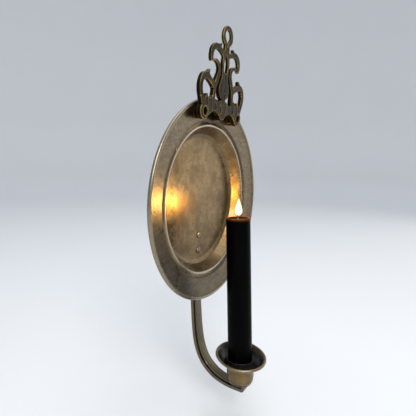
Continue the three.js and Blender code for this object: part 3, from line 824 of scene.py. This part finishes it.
FRONT_STRAP, REAR_STRAP, STRAP_GAP, STRAP_WIDTH = 1.3, 3.2, 2.0, 10.2
STRAP_BULGE = 0.7
NOSE = 2.4
GAP_END = NOSE + 0.7
SPINE_Y = WELL_DEPTH + SHEET + GAP + FRONT_STRAP + STRAP_GAP / 2
ARM_RIVETS = {"upper": -37, "lower": -53}
strap_material = brushed_strap()


def at_end(forward, up):
    """A point of the arm's end, from the middle of the top face below the socket."""
    spot = tipped(0, CANDLE_Y - forward, ARM_TOP_FACE_Z + up, -CANDLE_LEAN, CANDLE_Y, ARM_TOP_FACE_Z)
    return Vector((spot.y, spot.z))


SPINE = [(SPINE_Y, z) for z in (-28, -37, -46, -55, -64)]
SWEEP = [
    (SPINE_Y, -70), (15.6, -106), (13.2, -134), (9.6, -153), (2.8, -166.6), (-8, -175.4), (-19, -178.9),
    tuple(at_end(-8, -FRONT_STRAP - STRAP_GAP / 2)),
]


def spine_frames():
    """(point, outward normal, bulge) along the middle of the gap, from the top to the arm's end."""
    swept = smooth_line(SWEEP, 12)
    line = [Vector(p) for p in SPINE] + swept
    frames = []
    for i, at in enumerate(line):
        along = step(line, i)
        if i == len(line) - 1:
            along = at_end(1, 0) - at_end(0, 0)
        along.normalize()
        share = max(0.0, (i - len(SPINE)) / (len(swept) - 1))
        frames.append((at, Vector((-along.y, along.x)), STRAP_BULGE * math.sin(math.pi * share) ** 2))
    return frames


def edge(reach, spread=0):
    return [at + out * (reach - spread * bulge) for at, out, bulge in spine_frames()]


def slab(outline):
    """A closed outline in the Y-Z plane made solid across X, with rounded long edges."""
    count = len(outline)
    area = sum(a.x * b.y - b.x * a.y for a, b in zip(outline, outline[1:] + outline[:1]))
    turn = 1 if area > 0 else -1
    inward = []
    for i, at in enumerate(outline):
        before, after = (at - outline[i - 1]).normalized(), (outline[(i + 1) % count] - at).normalized()
        normal = (Vector((-before.y, before.x)) + Vector((-after.y, after.x))).normalized() * turn
        inward.append(normal)
    half, soft = STRAP_WIDTH / 2, 0.34
    rings = []
    for depth, inset in ((0, 1.6), (0, 1), (0.12, 0.5), (0.4, 0.15), (1, 0)):
        rings.append((-half + depth * soft, inset * soft))
    rings += [(-x, inset) for x, inset in reversed(rings)]
    return loft([[place(x, *(p + n * inset)) for p, n in zip(outline, inward)] for x, inset in rings])


def grain_map(mesh, spine):
    """A UV map that runs along the strap (u, metres) and across it (v, metres)."""
    layer = mesh.uv_layers.new(name="grain")
    lengths = [0.0]
    for a, b in zip(spine, spine[1:]):
        lengths.append(lengths[-1] + (b - a).length)
    for loop in mesh.loops:
        point = mesh.vertices[loop.vertex_index].co
        flat = Vector((local(point).y, local(point).z))
        nearest = min(range(len(spine)), key=lambda k: (spine[k] - flat).length_squared)
        along = step(spine, nearest).normalized()
        u = lengths[nearest] + (flat - spine[nearest]).dot(along)
        v = local(point).x + (flat - spine[nearest]).dot(Vector((-along.y, along.x)))
        layer.data[loop.index].uv = (u * MM, v * MM)


level = STRAP_GAP / 2
cap_radius = (FRONT_STRAP + STRAP_GAP + REAR_STRAP) / 2
front_tip, tip_round = GAP_END - GAP, 0.3
front_end = [
    at_end(-4, 0), at_end(front_tip - tip_round, 0), at_end(front_tip, -0.25), at_end(front_tip, -1.05),
    at_end(front_tip - tip_round, -FRONT_STRAP), at_end(-4, -FRONT_STRAP),
]
nose = [at_end(*p) for p in arc((NOSE, -cap_radius), cap_radius, 76, -90, 24)]
gap_root = [at_end(f, -FRONT_STRAP - STRAP_GAP) for f in (-4, GAP_END - 0.4)]
gap_root += [at_end(GAP_END, -FRONT_STRAP - STRAP_GAP + 0.4)]
rear_end = [*gap_root, *nose, at_end(-4, -2 * cap_radius)]
outlines = {
    "arm_front_strap": [*edge(-level - FRONT_STRAP, 1), *front_end, *reversed(edge(-level, 1))],
    "arm_rear_strap": [*edge(level), *rear_end, *reversed(edge(level + REAR_STRAP))],
}
for name, outline in outlines.items():
    made = piece(name, [slab(outline)], strap_material, replaces=[name])
    grain_map(made.data, [at for at, _, _ in spine_frames()])

WASHER = 3.6
washer_front, washer_back = SPINE_Y - level + GAP, SPINE_Y + level - GAP


def washer_profile(low, high, radius=WASHER):
    return fillet([(BORE, low), (radius, low), (radius, high), (BORE, high)], 0.2, steps=2)


for which, z in ARM_RIVETS.items():
    ring = lathe(washer_profile(washer_front, washer_back), 48, facing(0, z))
    fastener(f"arm_washer_{which}", ring)
    head = rivet_skin(WELL_DEPTH - 0.3, WALL_Y - 0.9, (3.2, 1.5), (2.8, 0.7), 0, z)
    fastener(f"arm_rivet_{which}", head)
tip_low = ARM_TOP_FACE_Z - FRONT_STRAP - STRAP_GAP + GAP
tip_section = washer_profile(tip_low, tip_low + STRAP_GAP - 2 * GAP, GAP_END - 2 * GAP)
fastener("arm_washer_tip", lathe(tip_section, 48, on_candle_axis()))

# ---------------------------------------------------------------- socket, its rivet and the drip pan

SOCKET_RADIUS, SOCKET_WALL = 12.8, 0.8
SOCKET_FOOT, SOCKET_TOP = ARM_TOP_FACE_Z + GAP, -151.5
SEAM_ANGLE = math.radians(146)


def rolled_sheet(radius, angle, height):
    """The socket is one sheet rolled round and lapped over itself at the seam, and is a little dented."""
    turn = (angle - SEAM_ANGLE) % math.tau
    lap = 0.42 * max(0.0, 1 - turn / math.radians(50)) ** 1.5
    dent = noise.noise(Vector((math.cos(angle) * 1.6, math.sin(angle) * 1.6, height * 0.12)))
    return lap + 0.16 * dent


def socket_profile():
    outer = [
        (BORE, SOCKET_FOOT), (8.4, SOCKET_FOOT), (10.6, SOCKET_FOOT + 1.6), (12.1, SOCKET_FOOT + 4.6),
        (SOCKET_RADIUS, SOCKET_FOOT + 9), (SOCKET_RADIUS, SOCKET_TOP),
    ]
    inner = [
        (SOCKET_RADIUS - SOCKET_WALL, SOCKET_TOP), (SOCKET_RADIUS - SOCKET_WALL, SOCKET_FOOT + 9),
        (11.3, SOCKET_FOOT + 5), (9.9, SOCKET_FOOT + 2.4), (8, SOCKET_FOOT + 1), (BORE, SOCKET_FOOT + 1),
    ]
    return fillet(outer + inner, 0.3, steps=3)


socket_metal = smoked_socket(lean_back(0, CANDLE_Y, SOCKET_TOP))
socket_skin = lathe(socket_profile(), 192, on_candle_axis(rolled_sheet))
piece("candle_socket", [socket_skin], socket_metal, replaces=["candle_socket"])

under, over = ARM_TOP_FACE_Z - 2 * cap_radius - GAP, SOCKET_FOOT + 1.3
rivet_profile = [
    (0, under - 1), (1.0, under - 0.95), (1.9, under - 0.78), (2.6, under - 0.45), (2.9, under - 0.15),
    (2.9, under), (RIVET, under), (RIVET, over), (3.2, over), (3.2, over + 0.3), (2.8, over + 0.8),
    (2, over + 1.2), (1, over + 1.45), (0, over + 1.5),
]
fastener("socket_rivet", lathe(rivet_profile, 40, on_candle_axis()))

PAN_RADIUS, PAN_BEAD, PAN_DROP = 24.1, 1.3, 9.0
PAN_RIM_Z = -148.8
PAN_TURN = Matrix.Rotation(math.radians(3), 3, "X") @ Matrix.Rotation(math.radians(-4), 3, "Y")
pan_pivot = Vector((0, *at_end(0, PAN_RIM_Z - PAN_DROP - ARM_TOP_FACE_Z)))


def pan_point(radius, angle, height):
    wave = 0.14 * math.sin(3 * angle + 0.6) + 0.10 * math.sin(5 * angle)
    lift = height + wave * max(0.0, (radius - 16) / 8)
    spot = PAN_TURN @ Vector((radius * math.cos(angle), radius * math.sin(angle), lift)) + pan_pivot
    return place(*spot)


def pan_profile():
    # The collar is soldered to the socket all round, so its inner edge is sunk into the wall.
    collar = SOCKET_RADIUS - 0.35
    outside = [(collar, -1.2), (SOCKET_RADIUS + 1.6, -1.2), (SOCKET_RADIUS + 2.1, 0.7)]
    outside += [(18.2, 2.8), (20.9, 5.6)]
    bead = arc((PAN_RADIUS - PAN_BEAD, PAN_DROP), PAN_BEAD, -110, 130, 14)
    inside = [(20.6, 7.1), (17.6, 3.8), (SOCKET_RADIUS + 1.1, 1.6), (collar, 0.8)]
    rounded_out = fillet(outside, 0.6, steps=3, closed=False)
    rounded_in = fillet(inside, 0.9, steps=3, closed=False)
    return rounded_out + [Vector(p) for p in bead] + rounded_in


pan_material = sooty_pan(place(*pan_pivot))
pan_skin = lathe(pan_profile(), 192, pan_point)
piece("drip_pan", [pan_skin], pan_material, replaces=["drip_pan"])

# ---------------------------------------------------------------- hanger

HANGER_WIDTH, HANGER_SHEET = 22.0, 1.5
KEYHOLE_Z, KEYHOLE_SEAT = 54.0, 61.5


def hanger_skin():
    foot = WELL_DEPTH + SHEET + GAP
    head = WALL_Y - HANGER_SHEET
    line = [(foot, 28), (foot, 36), (foot, 42.3), (head, 47), (head, 54), (head, 68)]
    near = fillet(line, 1.6, steps=5, closed=False)
    rings = []
    half, soft = HANGER_WIDTH / 2, 0.3
    section = fillet([(-half, 0), (half, 0), (half, HANGER_SHEET), (-half, HANGER_SHEET)], soft, steps=3)
    for i, at in enumerate(near):
        along = step(near, i).normalized()
        out = Vector((along.y, -along.x))
        rings.append([place(s.x, at.x + out.x * s.y, at.y + out.y * s.y) for s in section])
    return loft(rings)


def keyhole_skins():
    front, back = WALL_Y - HANGER_SHEET - 1, WALL_Y + 1
    round_hole = lathe([(0, front), (4.2, front), (4.2, back), (0, back)], 48, facing(0, KEYHOLE_Z))
    outline = [(2.2, KEYHOLE_Z), *arc((0, KEYHOLE_SEAT), 2.2, 0, 180, 20), (-2.2, KEYHOLE_Z)]
    slot = loft([[place(x, y, z) for x, z in outline] for y in (front, back)])
    return round_hole, slot


hanger = piece("hanger_blank", [hanger_skin()], rivet_material)
holes = []
for shape, skin in zip(("round", "slot"), keyhole_skins()):
    holes.append(piece(f"keyhole_{shape}", [skin], rivet_material))
    subtract(hanger, holes[-1])
hanger_mesh = applied(hanger)
for cutter in holes:
    bpy.data.objects.remove(cutter, do_unlink=True)
register("hanger_tab", hanger_mesh, rivet_material, "sconce", ["hanger_tab"], 30.0)

# ---------------------------------------------------------------- candle, wick and flame

CANDLE_FOOT, CANDLE_TOP = -166.5, -14.0
CANDLE_RADIUS, CANDLE_FOOT_RADIUS = 11.35, 11.6


def hand_dipped(radius, angle, height):
    return 0.05 * noise.noise(Vector((math.cos(angle), math.sin(angle), height * 0.05)))


def candle_profile():
    side = [(CANDLE_FOOT_RADIUS - 0.05, CANDLE_FOOT), (CANDLE_RADIUS, CANDLE_TOP - 0.9)]
    pool = [
        (CANDLE_RADIUS - 0.65, CANDLE_TOP), (CANDLE_RADIUS - 1.5, CANDLE_TOP - 0.6), (7.4, CANDLE_TOP - 1.7),
        (4, CANDLE_TOP - 2.2), (1.4, CANDLE_TOP - 2.3), (0.95, CANDLE_TOP - 2.0), (0.9, CANDLE_TOP - 8.9),
    ]
    return fillet([(0, CANDLE_FOOT), *side, *pool, (0, CANDLE_TOP - 9)], 0.5, steps=3, closed=False)


wax = black_wax(lean_back(0, CANDLE_Y, CANDLE_TOP))
candle_skin = lathe(candle_profile(), 160, on_candle_axis(hand_dipped))
piece("candle", [candle_skin], wax, body="candle", replaces=["candle"])

WICK_RADIUS = 0.8
WICK_LINE = [
    (0, CANDLE_Y, CANDLE_TOP - 8.5), (0, CANDLE_Y, CANDLE_TOP - 3), (-0.1, CANDLE_Y, CANDLE_TOP + 0.5),
    (-0.8, CANDLE_Y + 0.3, CANDLE_TOP + 3.7),
]


def wick_skin():
    line = smooth_line(WICK_LINE, 8)
    rings = []
    for i, at in enumerate(line):
        share = i / (len(line) - 1)
        ring = []
        for k in range(16):
            angle = math.tau * k / 16
            rope = 1 + 0.12 * math.sin(3 * (angle + share * 9))
            taper = 0.75 if share > 0.97 else 0.92
            radius = WICK_RADIUS * rope * taper * 0.9
            ring.append(lean_back(at.x + radius * math.cos(angle), at.y + radius * math.sin(angle), at.z))
        rings.append(ring)
    return loft(rings)


wick_material = charred_wick(lean_back(*WICK_LINE[-1]))
piece("wick", [wick_skin()], wick_material, body="candle", replaces=["wick"], sharp=80)

wick_foot = local(lean_back(0, CANDLE_Y, CANDLE_TOP))
FLAME_Y, FLAME_FOOT = wick_foot.y, wick_foot.z + 1.4
FLAME_HEIGHT, FLAME_WIDTH = 16.5, 3.5


def flame_skin(scale_width, rise, height):
    """A drop that is widest a third of the way up and drawn to a point."""
    profile = []
    for i in range(25):
        t = i / 24
        swell = math.sin(math.pi * t**0.62) ** 0.9 * (1 - 0.25 * t) if 0 < t < 1 else 0.0
        profile.append((FLAME_WIDTH * scale_width * swell, FLAME_FOOT + rise + height * t))
    return lathe(profile, 48, upright(0.3, FLAME_Y))


flame_foot = place(0, FLAME_Y, FLAME_FOOT)
flame_height = FLAME_HEIGHT * MM
core_colours = rgb(1.0, 0.86, 0.62), rgb(1.0, 0.93, 0.78)
veil_colours = rgb(1.0, 0.42, 0.10), rgb(1.0, 0.62, 0.16)
core = flame_glow("flame_core", flame_foot, flame_height, *core_colours, 7.0, 1.0)
veil = flame_glow("flame_veil", flame_foot, flame_height, *veil_colours, 2.2, 0.4)
piece("flame_core", [flame_skin(0.86, 0.3, FLAME_HEIGHT - 1.6)], core, body="candle")
piece("flame_veil", [flame_skin(1.16, -0.4, FLAME_HEIGHT + 0.8)], veil, body="candle")

# ---------------------------------------------------------------- floor, lights and camera


def studio_surface(name, colour):
    finish = Finish(name, Roughness=0.9)
    cloud = finish.noise(3.0, detail=3)
    lighter = tuple(c * 1.03 for c in colour)
    finish.wire(Base_Color=finish.mix(cloud, rgb(*colour), rgb(*lighter)))
    return finish.material


def studio_floor():
    """A pale floor a little below the arm that sweeps up to a far, even backdrop."""
    floor_z = cad_low.z - 0.03
    sweep = [(1.0, 0.0), (2.2, 0.0), (2.9, 0.15), (3.3, 0.7), (3.4, 1.6), (3.4, 4.0)]
    segments = 96
    vertices = [Vector((0, 0, floor_z))]
    faces = []
    for radius, height in sweep:
        for k in range(segments):
            angle = math.tau * k / segments
            vertices.append(Vector((radius * math.cos(angle), radius * math.sin(angle), floor_z + height)))
    for k in range(segments):
        faces.append((0, 1 + k, 1 + (k + 1) % segments))
    for i in range(len(sweep) - 1):
        for k in range(segments):
            a, b = 1 + i * segments + k, 1 + i * segments + (k + 1) % segments
            faces.append((a, a + segments, b + segments, b))
    mesh = bpy.data.meshes.new("studio_floor")
    mesh.from_pydata(vertices, [], faces)
    mesh.polygons.foreach_set("use_smooth", [True] * len(mesh.polygons))
    mesh.materials.append(studio_surface("pale_floor", (0.80, 0.81, 0.82)))
    floor = added("studio_floor", mesh)


studio_floor()

world = bpy.data.worlds.new("studio")
bpy.context.scene.world = world
world.use_nodes = True
background = world.node_tree.nodes["Background"]
background.inputs["Color"].default_value = (0.80, 0.85, 0.92, 1.0)
background.inputs["Strength"].default_value = 0.8


def soft_light(name, at, look, width, height, power, colour):
    """A softbox at a point, aimed at another, both in millimetres."""
    lamp = bpy.data.lights.new(name, "AREA")
    lamp.shape = "RECTANGLE"
    lamp.size, lamp.size_y = width, height
    lamp.energy = power
    lamp.color = colour
    made = added(name, lamp)
    made.location = place(*at)
    made.rotation_euler = (place(*look) - place(*at)).to_track_quat("-Z", "Y").to_euler()


AIM = (0, 0, -20)
soft_light("key", (-900, -900, 900), AIM, 0.9, 0.9, 16, (1.0, 0.97, 0.93))
soft_light("fill", (1300, -900, 300), AIM, 1.2, 1.2, 4.5, (1.0, 0.96, 0.90))
soft_light("top", (100, -200, 1500), AIM, 1.4, 1.0, 9, (0.95, 0.97, 1.0))

flame_lamp = bpy.data.lights.new("flame_lamp", "POINT")
flame_lamp.energy = 0.21
flame_lamp.color = (1.0, 0.56, 0.12)
flame_lamp.shadow_soft_size = 0.0045
flame_light = added("flame_lamp", flame_lamp)
flame_light.location = place(0, FLAME_Y, FLAME_FOOT + FLAME_HEIGHT * 0.5)
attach(flame_light, "candle")
for glowing in ("flame_core", "flame_veil"):
    bpy.data.objects[glowing].visible_shadow = False

# The view: from the left and close in, looking slightly down.
CAMERA_AT = (-294.0, -167.5, 34.4)
CAMERA_AZIMUTH, CAMERA_PITCH, CAMERA_ROLL = -52.5, 6.1, 0.8
LENS, SHIFT = 29.42, (0.1012, -0.0167)


def photo_camera():
    a, e, r = (math.radians(v) for v in (CAMERA_AZIMUTH, CAMERA_PITCH, CAMERA_ROLL))
    ahead = Vector((-math.sin(a) * math.cos(e), math.cos(a) * math.cos(e), -math.sin(e)))
    level_right = Vector((math.cos(a), math.sin(a), 0))
    level_up = level_right.cross(ahead)
    right = level_right * math.cos(r) + level_up * math.sin(r)
    up = right.cross(ahead)
    lens = bpy.data.cameras.new("photo_camera")
    lens.sensor_width = 36
    lens.lens = LENS
    lens.shift_x, lens.shift_y = SHIFT
    lens.clip_start = 0.01
    camera = added("photo_camera", lens)
    turn = Matrix((right, up, -ahead)).transposed().to_4x4()
    camera.matrix_world = Matrix.Translation(place(*CAMERA_AT)) @ turn
    bpy.context.scene.camera = camera


photo_camera()
bpy.context.scene.view_settings.view_transform = "Standard"
